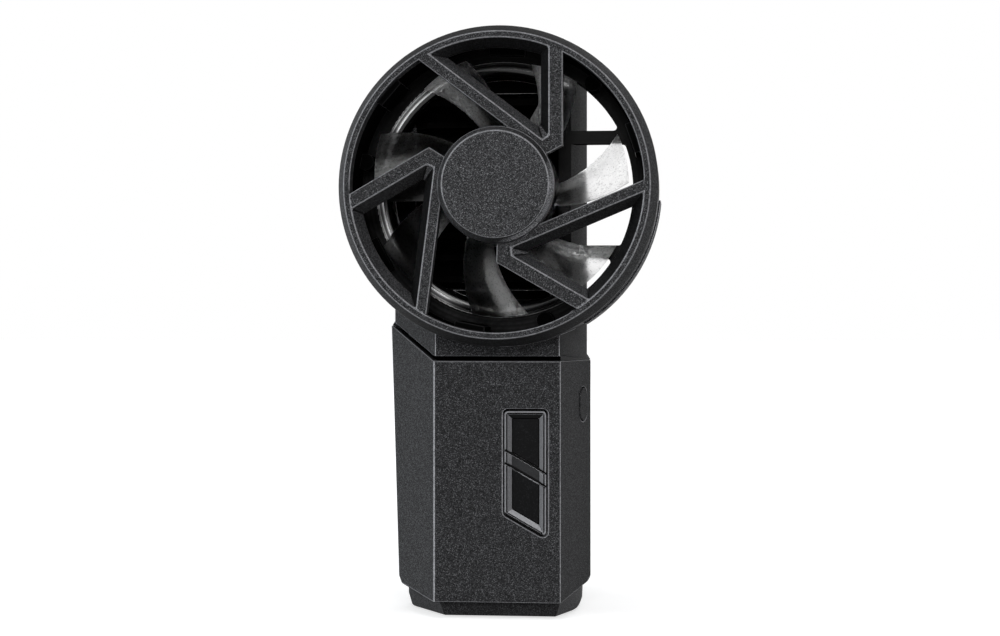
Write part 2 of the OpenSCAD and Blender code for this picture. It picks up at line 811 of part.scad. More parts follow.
// Four corners between two slanted or level lines, brought in from the insert's sides
function pane(o, top, low, level) = let (x0 = insert_x + o, x1 = insert_x + insert_w - o)
    [[x0, level ? insert_z - top : cut_z(x0, top)], [x0, cut_z(x0, low)],
    [x1, cut_z(x1, low)], [x1, level ? insert_z - top : cut_z(x1, top)]];
// Panes of the upper and the lower window, with a clearance all round
function upper_pts(o) = pane(pane_in + o, pane_in + o, bar_top - cut_h / 2 - o, true);
function lower_pts(o) = pane(pane_in + o, bar_top + bar_h + cut_h / 2 + o,
    insert_h - (pane_in + o) / cos(insert_slope), false);
// Outline with every corner rounded to a radius
function rounded(p, r) = [for (i = [0:len(p) - 1])
    let (n = len(p), d = unit(p[(i + n - 1) % n] - p[i]), e = unit(p[(i + 1) % n] - p[i]),
        half = acos(d * e) / 2, c = p[i] + unit(d + e) * r / sin(half),
        a0 = atan2(-(d + e)[1], -(d + e)[0]))
    for (k = [-2:2]) c + r * [cos(a0 + k * (90 - half) / 2), sin(a0 + k * (90 - half) / 2)]];

module pill(r, h, x0, x1) {
    for (s = [-1, 1]) translate([x0, 0, s * (h / 2 - r)]) rotate([0, 90, 0]) cylinder(h = x1 - x0, r = r);
    box([x0, -r, -h / 2 + r], [x1, r, h / 2 - r]);
}
module at_button() {
    at_side(z_control) children();
}

module front_cover() {
    color([0.12, 0.12, 0.13]) {
        difference() {
            intersection() {
                union() {
                    difference() {
                        intersection() {
                            column(0, y_wall_back, z_foot - 1, z_left + 4);
                            right_of_side(0);
                            below_groove(z_sleeve, z_sleeve);
                        }
                        intersection() {
                            column(cav, plan_far, z_floor, far);
                            right_of_side(cav);
                        }
                    }
                    // Sleeves round the rod bushes
                    for (x = rod_x) translate([x, y_rod, z_foot - 1])
                        cylinder(h = z_bush - z_foot + 1, r = bush_r + bush_wall);
                    // Posts for the control board
                    for (z = screw_z) translate([screw_x, 0, z]) axial(y_body + wall - eps, y_pcb, post_r);
                }
                beyond_foot(0, far);
            }
            // Bevels at the top of the left side and at both ends of the foot
            slab([[-side_left - neck_in, z_flare - flare_h], [-side_left + neck_in, z_flare + flare_h],
                [-side_left - neck_in, z_left + 3]], -far, far);
            for (e = foot_ends) translate([e[0], 0, foot_z(y_edge)]) slab([[e[1], 4] * foot_bevel,
                [-2 * e[1], -2] * foot_bevel, [8 * e[1], -2] * foot_bevel, [8 * e[1], 4] * foot_bevel],
                -far, far);
            slab(rounded(insert_pts(-insert_gap), 0.7), y_body - eps, y_seat);
            slab(insert_pts(0.8), y_body - eps, y_body + wall + eps);
            at_button() pill(button_w / 2 + set_gap, button_h + 2 * set_gap, -wall - 1, 1);
            translate([0, y_socket, z_control]) pill(socket_t / 2 + set_gap, socket_w + 2 * set_gap,
                -side_left - 1, -side_left + 6);
            for (x = rod_x) translate([x, y_rod, z_foot - 2]) cylinder(h = 12, r = bush_r + fit_gap);
            for (z = screw_z) translate([screw_x, 0, z])
                axial(y_body + wall * 0.6, y_pcb + eps, board_screw_r + fit_gap);
        }
        // Bosses for the back cover's screws
        for (i = [0, 1]) cover_boss(cover_at[i]);
        // Ribs that carry the button's board
        at_button() for (s = [-1, 1]) translate([0, 0, s * (rib_at + rib_t / 2)])
            box([-rib_reach, -rib_w, -rib_t / 2], [-wall + 0.2, rib_w, rib_t / 2]);
        // Ledges that carry the socket's board
        for (s = [-1, 1]) translate([0, 0, z_control + s * ledge_at])
            box([-side_left + wall + 0.3, y_socket - socket_t / 2 - power_t - ledge_t, -0.6],
                [-side_left + wall + ledge_reach, y_socket - socket_t / 2 - power_t, 0.6]);
    }
}

module back_cover() {
    color([0.12, 0.12, 0.13]) difference() {
        intersection() {
            column(cav + set_gap, plan_far, z_floor + set_gap, chamber_h - set_gap);
            right_of_side(cav + set_gap);
            box([-far, y_stack, -far], [far, y_cover, far]);
        }
        box([body_mid - plate_w / 2 - set_gap, -far, -plate_h / 2 - set_gap],
            [body_mid + plate_w / 2 + set_gap, far, plate_h / 2 + set_gap]);
        // Recess for a module that is larger than the plate
        box([body_mid - tec_side / 2 - set_gap, -far, -tec_side / 2 - set_gap],
            [body_mid + tec_side / 2 + set_gap, -plate_t + set_gap, tec_side / 2 + set_gap]);
        for (p = cover_at) translate([p[0], 0, p[1]]) {
            axial(y_stack - eps, y_cover + eps, screw_r + set_gap);
            axial(y_cover - head_t, y_cover + eps, head_r + set_gap);
        }
    }
}

module indicator_bezel() {
    color([0.1, 0.1, 0.11]) difference() {
        slab(rounded(insert_pts(0), 0.5), y_rim, y_seat);
        // Channel inside the rim
        difference() {
            slab(rounded(insert_pts(rim_w), 0.35), y_rim - eps, y_rim + 0.35);
            slab(insert_pts(rim_w + rim_channel), -far, far);
        }
        // Dish with sloping sides
        hull() {
            slab(insert_pts(rim_w + rim_channel), y_rim - eps, y_rim);
            slab(insert_pts(pane_in), y_pane - eps, y_pane);
        }
        // Slanted cuts on both sides of the bar
        for (d = [bar_top, bar_top + bar_h])
            slab(pane(-1, d - cut_h / 2, d + cut_h / 2, false), y_rim - eps, y_pane + 0.15);
        for (p = [upper_pts(0), lower_pts(0)]) slab(p, y_pane - eps, y_seat + eps);
    }
}

module lens(p) {
    color([0.02, 0.02, 0.025]) slab(p, y_pane, y_seat);
}
module upper_indicator_lens() {
    lens(upper_pts(fit_gap));
}
module lower_indicator_lens() {
    lens(lower_pts(fit_gap));
}

module control_board() {
    color([0.05, 0.3, 0.14]) difference() {
        box([body_mid - pcb_left, y_pcb, screw_z[1] - pcb_end],
            [body_mid + pcb_right, y_pcb + pcb_t, screw_z[0] + pcb_end]);
        for (z = screw_z) translate([screw_x, 0, z])
            axial(y_pcb - 1, y_pcb + pcb_t + 1, board_screw_r + set_gap);
    }
}

module indicator_leds() {
    x = insert_x + insert_w / 2;
    color([0.9, 0.9, 0.8]) for (z = [insert_z - bar_top * 0.6, insert_z - insert_h * 0.8])
        box([x - led_w / 2, y_pcb - led_h, z - led_h], [x + led_w / 2, y_pcb, z + led_h]);
}

// Cross recess of a screw head, cut down to the height y
module cross(y, r) {
    box([-r, y, -slot_w / 2], [r, far, slot_w / 2]);
    box([-slot_w / 2, y, -r], [slot_w / 2, far, r]);
}

module board_screws() {
    y1 = y_pcb + pcb_t;
    color([0.6, 0.6, 0.62]) for (z = screw_z) translate([screw_x, 0, z]) difference() {
        union() {
            axial(y_body + wall * 0.65, y1 + board_head_t / 2, board_screw_r);
            axial(y1, y1 + board_head_t, board_head_r);
        }
        cross(y1 + board_head_t * 0.6, board_head_r * 0.55);
    }
}

module button_board() {
    color([0.05, 0.3, 0.14]) at_button()
        box([-button_board_x - button_board_t, -button_board_w / 2, -rib_at + fit_gap],
            [-button_board_x, button_board_w / 2, rib_at - fit_gap]);
}

module tact_switch() {
    tip = -wall - button_flange - 0.1 - button_travel;
    color([0.2, 0.2, 0.22]) at_button() {
        box([-button_board_x, -switch_half, -switch_half], [tip - 0.3, switch_half, switch_half]);
        translate([tip - 0.4, 0, 0]) rotate([0, 90, 0]) cylinder(h = 0.35, r = 0.7);
    }
}

module power_button() {
    color([0.16, 0.16, 0.17]) at_button() {
        pill(button_w / 2, button_h, -wall - 0.3, button_proud);
        pill(button_w / 2 + button_lip, button_h + 2 * button_lip, -wall - button_flange, -wall - 0.15);
    }
}

module charging_socket() {
    x1 = socket_x + socket_len;
    color([0.68, 0.69, 0.71]) translate([0, y_socket, z_control]) {
        difference() {
            pill(socket_t / 2, socket_w, socket_x, x1);
            pill(socket_t / 2 - socket_wall, socket_w - 2 * socket_wall,
                socket_x - 1, x1 - 2 * socket_wall);
        }
        box([socket_x + 3 * socket_wall, -tongue_t / 2, -tongue_half],
            [x1 - socket_wall, tongue_t / 2, tongue_half]);
    }
}

module power_board() {
    y1 = y_socket - socket_t / 2;
    color([0.05, 0.3, 0.14]) box([-side_left + wall + 1.2, y1 - power_t, z_control - power_half],
        [-side_left + wall + power_w, y1, z_control + power_half]);
}

module rod_bushes() {
    color([0.78, 0.62, 0.3]) for (x = rod_x) translate([x, y_rod, 0]) difference() {
        translate([0, 0, z_bush_low]) cylinder(h = bush_len, r = bush_r);
        translate([0, 0, z_bush_low - 1]) cylinder(h = bush_len + 2, r = rod_r + run_gap);
    }
}

// Round wire wound about a rod
module coil(z0, z1) {
    steps = 12 * spring_coils;
    sides = 5;
    r = spring_wire / 2;
    pts = [for (i = [0:steps], j = [0:sides - 1])
        let (a = i * 30, b = j * 360 / sides, q = spring_r + r * cos(b))
        [q * cos(a), q * sin(a), z0 + r + (z1 - z0 - 2 * r) * i / steps + r * sin(b)]];
    faces = concat(
        [[for (j = [0:sides - 1]) j]],
        [for (i = [0:steps - 1], j = [0:sides - 1], k = [0, 1])
            let (a = i * sides + j, b = i * sides + (j + 1) % sides)
            k == 0 ? [a, a + sides, b + sides] : [a, b + sides, b]],
        [[for (j = [sides - 1:-1:0]) steps * sides + j]]);
    polyhedron(points = pts, faces = faces, convexity = 10);
}

module return_springs() {
    color([0.66, 0.67, 0.7]) for (x = rod_x) translate([x, y_rod, 0]) coil(z_bush, z_clip);
}

module guide_rods() {
    color([0.75, 0.76, 0.78]) for (x = rod_x) translate([x, y_rod, 0]) difference() {
        translate([0, 0, z_cap - rod_seat]) cylinder(h = z_rod_top - z_cap + rod_seat, r = rod_r);
        translate([0, 0, z_clip]) difference() {
            cylinder(h = clip_t, r = 5);
            translate([0, 0, -1]) cylinder(h = 4, r = rod_r - 0.3);
        }
    }
}

module rod_clips() {
    color([0.3, 0.3, 0.32]) for (x = rod_x) translate([x, y_rod, 0]) difference() {
        translate([0, 0, z_clip + fit_gap]) cylinder(h = clip_t - 2 * fit_gap, r = rod_r + clip_w);
        translate([0, 0, z_clip - 1]) cylinder(h = 4, r = rod_r - 0.3 + fit_gap);
        translate([-0.35, 0, z_clip - 1]) cube([0.7, 5, 4]);
    }
}

module lower_jaw() {
    r = jaw_in;
    xl = -side_left + side_taper + 0.9 * jaw_in;
    xr = side_right - 1.25 * jaw_in;
    y0 = y_body + jaw_in;
    left = -front_left + 0.6 * jaw_in;
    right = front_right - 0.1 * jaw_in;
    top = [[left, y0], [right, y0], [xr, y_edge], [xr, y_wall_back], [xl, y_wall_back], [xl, y_edge]];
    low = [[left + jaw_lean * 0.7, y0 + jaw_lean], [right - jaw_lean * 0.8, y0 + jaw_lean],
        [xr - jaw_lean / 8, y_edge], [xr - jaw_lean / 8, y_wall_back],
        [xl + jaw_lean * 0.7, y_wall_back], [xl + jaw_lean * 0.7, y_edge]];
    color([0.12, 0.12, 0.13]) difference() {
        union() {
            intersection() {
                hull() {
                    translate([0, 0, z_cap]) linear_extrude(z_floor - z_cap) polygon(top);
                    translate([0, 0, z_base]) linear_extrude(fit_gap) polygon(low);
                }
                beyond_foot(-jaw_gap, -far);
                slab(concat([[xl, far]],
                    [for (a = [180:18:270]) [xl + r + r * cos(a), z_base + r + r * sin(a)]],
                    [for (a = [270:18:360]) [xr - r + r * cos(a), z_base + r + r * sin(a)]],
                    [[xr, far]]), -far, far);
            }
            box([jaw_l, jaw_root, z_base], [jaw_r, jaw_reach, z_cap]);
            box([jaw_l, jaw_reach - hook_t, z_base], [jaw_r, jaw_reach, z_cap + pad_t + hook_h]);
        }
        for (x = rod_x) translate([x, y_rod, z_cap - rod_seat]) cylinder(h = 9, r = rod_r + fit_gap);
    }
}

// Grip pad along a jaw, with shallow grooves in the face at height z
module pad(x0, x1, z0, z1, z) {
    color([0.1, 0.1, 0.1]) difference() {
        box([x0 + pad_in, pad_start, z0], [x1 - pad_in, jaw_reach - hook_t, z1]);
        for (k = [1:3]) let (x = x0 + k * (x1 - x0) / 4)
            box([x - pad_slot / 2, -far, z - pad_slot / 2], [x + pad_slot / 2, far, z + pad_slot / 2]);
    }
}

module lower_jaw_pad() {
    pad(jaw_l, jaw_r, z_cap, z_cap + pad_t, z_cap + pad_t);
}

module upper_jaw() {
    color([0.12, 0.12, 0.13]) difference() {
        union() {
            box([upper_l, y_plenum + 0.3, neck_top], [upper_r, jaw_reach, neck_top + upper_jaw_t]);
            box([upper_l, jaw_reach - hook_t, neck_top - upper_pad_t - hook_h],
                [upper_r, jaw_reach, neck_top + upper_jaw_t]);
        }
        for (x = jaw_screw_x) translate([x, jaw_screw_y, neck_top]) {
            translate([0, 0, -1]) cylinder(h = 4, r = screw_r + set_gap);
            translate([0, 0, upper_jaw_t - head_t - 0.1]) cylinder(h = 2, r = head_r + set_gap);
        }
    }
}

module upper_jaw_pad() {
    pad(upper_l, upper_r, neck_top - upper_pad_t, neck_top, neck_top - upper_pad_t);
}

module jaw_screws() {
    color([0.6, 0.6, 0.62]) for (x = jaw_screw_x)
        translate([x, jaw_screw_y, neck_top + upper_jaw_t - head_t - 0.1]) rotate([90, 0, 0]) difference() {
            union() {
                axial(0, head_t, head_r);
                axial(-upper_jaw_t - 0.2, head_t / 2, screw_r);
            }
            cross(head_t / 2, head_r * 0.57);
        }
}

module cover_screws() {
    color([0.6, 0.6, 0.62]) for (p = cover_at) translate([p[0], 0, p[1]]) difference() {
        union() {
            axial(y_cover - head_t, y_cover - 0.05, head_r);
            axial(y_stack - screw_len, y_cover - head_t / 2, screw_r);
        }
        cross(y_cover - head_t / 2, head_r * 0.57);
    }
}

front_grille();
hub_cap();
fan_housing();
motor_frame();
shaft_bearing();
stator_core();
stator_coils();
motor_board();
impeller();
rotor_yoke();
rotor_magnet();
rotor_shaft();
retaining_clip();
heat_sink();
peltier_module();
foam_gasket();
cold_plate();
front_cover();
back_cover();
indicator_bezel();
upper_indicator_lens();
lower_indicator_lens();
control_board();
indicator_leds();
board_screws();
button_board();
tact_switch();
power_button();
charging_socket();
power_board();
rod_bushes();
return_springs();
guide_rods();
rod_clips();
lower_jaw();
lower_jaw_pad();
upper_jaw();
upper_jaw_pad();
jaw_screws();
cover_screws();
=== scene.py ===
import json
import math

import bpy
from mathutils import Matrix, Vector

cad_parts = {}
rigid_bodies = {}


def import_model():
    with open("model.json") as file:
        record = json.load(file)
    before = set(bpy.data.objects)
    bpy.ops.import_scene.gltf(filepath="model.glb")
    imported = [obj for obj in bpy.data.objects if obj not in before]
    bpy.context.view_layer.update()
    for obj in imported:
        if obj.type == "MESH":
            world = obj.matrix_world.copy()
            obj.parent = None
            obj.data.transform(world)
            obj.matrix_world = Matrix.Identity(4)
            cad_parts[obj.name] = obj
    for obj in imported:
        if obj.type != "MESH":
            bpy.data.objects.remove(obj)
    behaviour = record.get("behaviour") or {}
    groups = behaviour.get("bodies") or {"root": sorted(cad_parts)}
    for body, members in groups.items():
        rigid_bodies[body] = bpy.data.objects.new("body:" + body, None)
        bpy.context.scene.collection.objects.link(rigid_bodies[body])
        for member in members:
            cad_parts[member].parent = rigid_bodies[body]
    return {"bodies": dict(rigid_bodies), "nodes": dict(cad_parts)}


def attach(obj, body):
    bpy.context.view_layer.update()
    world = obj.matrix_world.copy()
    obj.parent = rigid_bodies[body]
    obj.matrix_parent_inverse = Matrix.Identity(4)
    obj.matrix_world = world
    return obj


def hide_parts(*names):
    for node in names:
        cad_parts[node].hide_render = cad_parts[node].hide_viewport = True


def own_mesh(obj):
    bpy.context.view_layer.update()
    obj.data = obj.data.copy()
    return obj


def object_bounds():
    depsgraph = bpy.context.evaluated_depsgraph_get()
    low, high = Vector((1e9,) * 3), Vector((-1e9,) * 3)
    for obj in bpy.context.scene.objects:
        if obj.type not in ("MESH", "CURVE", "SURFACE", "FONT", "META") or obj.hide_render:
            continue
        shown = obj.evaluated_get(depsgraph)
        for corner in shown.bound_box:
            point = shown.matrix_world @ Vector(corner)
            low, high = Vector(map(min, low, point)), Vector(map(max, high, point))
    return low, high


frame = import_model()
cad_low, cad_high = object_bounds()
nodes = frame["nodes"]
scene = bpy.context.scene
scene.view_settings.view_transform = "Standard"

# Places in metres: x to the right, y to the back, z up, the fan axis along y

X, Y, Z = range(3)
DRUM_REACH = 0.0206
DRUM_BACK = -0.0102
LEDGE_FRONT = -0.0119
ROOM_LEFT = -0.0146
ROOM_RIGHT = 0.0104
ROOM_FOOT = -0.0195
ROOM_BACK = -0.0012
GROOVE_TOP = -0.0224
GROOVE_SLANT = 0.6657
GROOVE_CORNER = -0.00885
GROOVE_RIGHT = 0.008
GROOVE_BACK = -0.0064
RING_FRONT = -0.0218
RING_SPLIT = 0.0193
GRILLE_BACK = -0.0197
GRILLE_REACH = 0.0205
HOOK_FRONT = -0.0212
LIP_IN = 0.01615
LIP_OUT = 0.0172
LIP_FRONT = -0.0106
INSERT_SLANT = 0.5704
INSERT_FOOT = -0.04258
INSERT_RIM = -0.0163
BLADES = 7
BLADE_START = math.radians(236 - 16.2)
BLADE_SWEEP = math.radians(2020)
FLOOR_GAP = 0.0002
FLOOR_HALF = 3.0
LAMP_AIM = Vector((-0.002, -0.012, -0.018))
CAMERA_AIM = Vector((0.00056, -0.022, -0.01725))
CAMERA_FAR = 0.244
CAMERA_YAW = math.radians(5.5)
CAMERA_LENS = 67.83

# Fineness of the moulded grain, per metre

GRAIN = 5200
SPARKS = 12500
FLECKS = 9000

# Shades as pairs of a place and a share, with the range of places where it isn't 0 to 1

SPECKS = [(0.0, 0.1), (0.6, 0.75), (0.85, 1.3), (1.0, 4.0)]
SIDE_SPECKS = [(0.0, 0.2), (0.6, 0.85), (1.0, 2.4)]
# UPRIGHT, ROUND and RIM: painted highlights on the bevelled edges, over the height of the normal
UPRIGHT = [(-0.6, 0.02), (-0.25, 0.1), (-0.12, 1.0), (0.12, 1.0), (0.3, 0.5), (0.7, 0.35)]
ROUND = [(-1.0, 0.35), (-0.3, 0.8), (0.0, 1.0), (0.7, 0.8)]
RIM = [(-0.5, 0.06), (-0.2, 0.3), (-0.05, 1.0), (0.5, 0.9)]
# Painted highlight lines round the mouth's lip
LIP_SPAN = (0.016, 0.0172)
LIP_HIGHLIGHTS = [(0.0161, 0.3), (0.0163, 1.3), (0.0165, 0.2), (0.01675, 0.15), (0.01695, 1.4), (0.0171, 0.3)]
# Painted highlight lines on the ledge behind the mouth
LEDGE_SPAN = (0.0172, 0.0196)
LEDGE_HIGHLIGHTS = [(0.0172, 0.002), (0.01745, 0.016), (0.0177, 0.004), (0.0181, 0.014), (0.01835, 0.004),
               (0.0187, 0.011), (0.019, 0.002)]
# Painted light and shade on the insert: pale rim, black channel and cuts, slopes paler where they face up
INSERT_SPAN = (-0.0166, -0.0154)
INSERT_LEVELS = [(-0.0166, 0.2), (-0.01615, 0.001), (-0.0159, 0.026), (-0.01575, 0.001)]
INSERT_SLOPES = [(-0.45, 0.006), (-0.15, 0.14), (0.15, 0.14), (0.4, 0.3)]
# Painted sheen across each blade, from a thin pale first edge to pale near its rear edge
BLADE_SHEEN = [(0.0, 0.04), (0.025, 0.002), (0.18, 0.003), (0.3, 0.01), (0.41, 0.2), (0.5, 0.16), (0.56, 0.04)]
SHEEN_SPECKS = [(0.0, 0.02), (0.5, 0.6), (0.8, 1.4), (1.0, 3.6)]
# The painted sheen is weaker near the hub
BLADE_SPAN = (0.007, 0.018)
BLADE_FADE = [(0.008, 0.25), (0.0115, 1.0), (0.0165, 0.8)]
# Painted shade on the blade at the lower left
SHADE_SPAN = (-0.03, 0.0)
BLADE_SHADE = [(-0.0185, 0.22), (-0.0155, 1.0)]


# Material building

class Tree:
    """A material with one principled shader, and short ways to add nodes to it."""

    def __init__(self, name):
        self.mat = bpy.data.materials.new(name)
        self.mat.use_nodes = True
        self.nt = self.mat.node_tree
        self.nt.nodes.clear()
        self.out = self.new("OutputMaterial")
        self.bsdf = self.new("BsdfPrincipled")
        self.link(self.bsdf.outputs[0], self.out.inputs[0])
        self.coord = self.new("TexCoord")
        self.parts = {}

    def new(self, kind):
        return self.nt.nodes.new("ShaderNode" + kind)

    def link(self, a, b):
        self.nt.links.new(a, b)

    def axis(self, kind, i):
        """One coordinate of the object's own place or normal."""
        if kind not in self.parts:
            self.parts[kind] = self.new("SeparateXYZ")
            self.link(self.coord.outputs[kind], self.parts[kind].inputs[0])
        return self.parts[kind].outputs[i]

    def noise(self, scale, detail=2.0, rough=0.5, stretch=None):
        """Soft grain of a given fineness, drawn out along the axes by stretch."""
        n = self.new("TexNoise")
        n.inputs["Scale"].default_value = scale
        n.inputs["Detail"].default_value = detail
        n.inputs["Roughness"].default_value = rough
        place = self.coord.outputs["Object"]
        if stretch:
            m = self.new("Mapping")
            m.inputs["Scale"].default_value = stretch
            self.link(place, m.inputs[0])
            place = m.outputs[0]
        self.link(place, n.inputs["Vector"])
        return n.outputs["Fac"]

    def cells(self, scale):
        """A value of its own for each small cell, for sparkling grain."""
        n = self.new("TexVoronoi")
        n.inputs["Scale"].default_value = scale
        self.link(self.coord.outputs["Object"], n.inputs["Vector"])
        s = self.new("SeparateColor")
        self.link(n.outputs["Color"], s.inputs[0])
        return s.outputs[0]

    def ramp(self, fac, stops, steps=False):
        """Greys or colours between stops; steps keeps each value until the next stop."""
        r = self.new("ValToRGB")
        if steps:
            r.color_ramp.interpolation = "CONSTANT"
        e = r.color_ramp.elements
        while len(e) < len(stops):
            e.new(0.5)
        for x, (p, v) in zip(e, stops):
            x.position = p
            x.color = (*(v if isinstance(v, tuple) else (v, v, v)), 1)
        self.link(fac, r.inputs[0])
        return r.outputs[0]

    def over(self, fac, span, stops, steps=False):
        """Grey values over a range of a coordinate."""
        low, high = span
        places = [((p - low) / (high - low), v) for p, v in stops]
        return self.ramp(self.span(fac, low, high, 0.0, 1.0), places, steps)

    def facing(self, i, stops):
        """Grey values over one coordinate of the normal."""
        return self.over(self.axis("Normal", i), (-1, 1), stops)

    def span(self, fac, a, b, c, d):
        """The range a to b brought to the range c to d."""
        m = self.new("MapRange")
        for i, v in enumerate((a, b, c, d)):
            m.inputs[1 + i].default_value = v
        self.link(fac, m.inputs[0])
        return m.outputs[0]

    def math(self, op, a, b=0.0):
        m = self.new("Math")
        m.operation = op
        for i, v in enumerate((a, b)):
            if isinstance(v, (int, float)):
                m.inputs[i].default_value = v
            else:
                self.link(v, m.inputs[i])
        return m.outputs[0]

    def plus(self, a, b):
        return self.math("ADD", a, b)

    def less(self, a, b):
        return self.math("SUBTRACT", a, b)

    def times(self, a, b):
        return self.math("MULTIPLY", a, b)

    def below(self, a, b):
        """1 where a is less than b."""
        return self.math("LESS_THAN", a, b)

    def above(self, a, b):
        """1 where a is more than b."""
        return self.math("GREATER_THAN", a, b)

    def most(self, a, b):
        """The greater of a and b."""
        return self.math("MAXIMUM", a, b)

    def blend(self, fac, a, b):
        """b where fac is 1, a where it is 0."""
        return self.plus(a, self.times(fac, self.less(b, a)))

    def front(self):
        """1 where the surface looks forward."""
        return self.span(self.axis("Normal", Y), -0.86, -0.97, 0.0, 1.0)

    def radius(self):
        """Distance from the fan axis."""
        x = self.axis("Object", X)
        z = self.axis("Object", Z)
        return self.math("SQRT", self.plus(self.times(x, x), self.times(z, z)))

    def inside(self, radius, depth):
        """1 within a radius of the fan axis and in front of a depth."""
        near = self.below(self.radius(), radius)
        return self.times(near, self.below(self.axis("Object", Y), depth))

    def chord(self, count, start, sweep):
        """Place across a swept blade, from 0 at its first edge to 1 at the next blade's."""
        angle = self.math("ARCTAN2", self.axis("Object", Z), self.axis("Object", X))
        turn = self.less(angle, self.times(self.radius(), sweep))
        return self.math("FRACT", self.times(self.less(turn, start), count / math.tau))

    def bump(self, height, strength, distance):
        b = self.new("Bump")
        b.inputs["Strength"].default_value = strength
        b.inputs["Distance"].default_value = distance
        self.link(height, b.inputs["Height"])
        self.link(b.outputs[0], self.bsdf.inputs["Normal"])

    def colour(self, value, tint=(0.985, 0.985, 1.03)):
        """Base colour from a grey value, by default with a faint cold tint."""
        m = self.new("Mix")
        m.data_type = "RGBA"
        m.blend_type = "MULTIPLY"
        m.inputs[0].default_value = 1.0
        self.link(value, m.inputs[6])
        m.inputs[7].default_value = (*tint, 1)
        self.link(m.outputs[2], self.bsdf.inputs["Base Color"])

    def surface(self, rough, spread, source, level):
        """Roughness that varies with a grain, and a fixed specular level."""
        varied = self.span(source, 0.25, 0.75, rough - spread, rough + spread)
        self.link(varied, self.bsdf.inputs["Roughness"])
        self.bsdf.inputs["Specular IOR Level"].default_value = level


def grained(name, front, side):
    """Black moulding: spark grain on the faces that look forward, finer grain on the rest.
    side is a grey value or makes one from the tree."""
    t = Tree(name)
    grit = t.cells(SPARKS)
    fine = t.noise(GRAIN)
    spots = t.ramp(grit, [(p, front * f) for p, f in SPECKS])
    plain = t.times(t.ramp(grit, SIDE_SPECKS), side(t) if callable(side) else side)
    t.colour(t.blend(t.front(), plain, spots))
    t.surface(0.55, 0.08, fine, 0.04)
    t.bump(fine, 0.3, 0.00006)
    return t.mat


def plain_moulding(name, base, rough, scale=GRAIN, bump=0.25, level=0.1, tint=(1, 1, 1)):
    """Moulding of one even grain, paler and darker with it."""
    t = Tree(name)
    n = t.noise(scale)
    t.colour(t.ramp(n, [(0.3, base * 0.75), (0.72, base * 1.3)]), tint)
    t.surface(rough, 0.05, n, level)
    t.bump(n, bump, 0.00006)
    return t.mat


def edge(name, base, stops, ahead=None, outside=False):
    """Edges with a painted highlight, paler where they stand upright; stops give the share over the normal's
    height.
    ahead keeps them to the front of a depth, outside leaves them black on the drum's inside and in the
    groove, as painted shade."""
    t = Tree(name)
    n = t.cells(FLECKS)
    v = t.facing(Z, [(p, f * base) for p, f in stops])
    v = t.times(v, t.span(n, 0.0, 1.0, 0.55, 1.45))
    if ahead is not None:
        v = t.times(v, t.below(t.axis("Object", Y), ahead))
    if outside:
        v = t.times(v, t.less(1.0, t.inside(DRUM_REACH, DRUM_BACK)))
        v = t.times(v, t.above(t.axis("Object", Z), GROOVE_TOP))
    t.colour(t.most(v, 0.004))
    t.surface(0.4, 0.06, n, 0.05)
    return t.mat


def shell_side(t):
    """Sides of the body, with painted shade: a little darker on the right, more so towards its rear corner.
    """
    v = t.facing(X, [(-0.3, 0.039), (0.2, 0.0275)])
    return t.times(v, t.over(t.axis("Object", X), (0.009, 0.0125), [(0.0095, 1.0), (0.0118, 0.72)]))


def neck_side(t):
    """Sides of the housing: the right one darker, as painted shade."""
    return t.facing(X, [(-0.3, 0.038), (0.2, 0.014)])


def ring_side(t):
    """Sides of the grille, with painted light and shade: the ring's bevel paler at the left and right, the
    pockets between the spokes black as painted shade but for their slopes, which are pale as a painted
    highlight; the back even."""
    bevel = t.facing(X, [(-0.9, 0.045), (-0.45, 0.01), (0.35, 0.008), (0.85, 0.032)])
    wall = t.facing(X, [(0.2, 0.006), (0.6, 0.03)])
    wall = t.plus(wall, t.facing(Z, [(0.5, 0.0), (0.9, 0.026)]))
    pocket = t.blend(t.below(t.axis("Normal", Y), -0.65), wall, 0.06)
    v = t.blend(t.inside(RING_SPLIT, 1.0), bevel, pocket)
    return t.blend(t.above(t.axis("Normal", Y), 0.5), v, 0.035)


def hub_side(t):
    """Bevel of the hub with a painted highlight: bright towards the lower right."""
    d = t.less(t.times(t.axis("Normal", X), 0.85), t.times(t.axis("Normal", Z), 0.5))
    return t.over(d, (-1, 1), [(-0.3, 0.03), (0.42, 0.012), (0.6, 0.13)])


def insert_foot(t):
    """1 below the slanted foot line of the insert."""
    z = t.plus(t.axis("Object", Z), t.times(t.axis("Object", X), INSERT_SLANT))
    return t.below(z, INSERT_FOOT)


def insert_edge(name, base):
    """Edges of the insert with painted highlights: pale on the rim and on the upper sides of the slanted
    cuts, else black.
    """
    t = Tree(name)
    n = t.noise(GRAIN)
    up = t.times(t.above(t.axis("Normal", X), 0.2), t.above(t.axis("Normal", Z), 0.3))
    rim = t.times(t.below(t.axis("Object", Y), INSERT_RIM), t.less(1.0, insert_foot(t)))
    shine = t.most(t.times(up, 1.6), rim)
    v = t.times(shine, t.span(n, 0.3, 0.7, base * 0.85, base * 1.15))
    t.colour(t.most(v, 0.001))
    t.surface(0.4, 0.05, n, 0.03)
    return t.mat


def insert(name):
    """Satin insert with painted light and shade: pale rim and slopes as painted highlights, black channel
    and cuts as painted shade, dark bar.
    """
    t = Tree(name)
    n = t.noise(GRAIN)
    flat = t.below(t.axis("Normal", Y), -0.93)
    sloped = t.times(t.below(t.axis("Normal", Y), -0.5), t.less(1.0, flat))
    level = t.over(t.axis("Object", Y), INSERT_SPAN, INSERT_LEVELS, True)
    level = t.blend(insert_foot(t), level, 0.006)
    v = t.plus(t.times(flat, level), t.times(sloped, t.facing(Z, INSERT_SLOPES)))
    t.colour(t.times(t.most(v, 0.0015), t.span(n, 0.3, 0.7, 0.8, 1.2)))
    t.surface(0.4, 0.05, n, 0.06)
    return t.mat


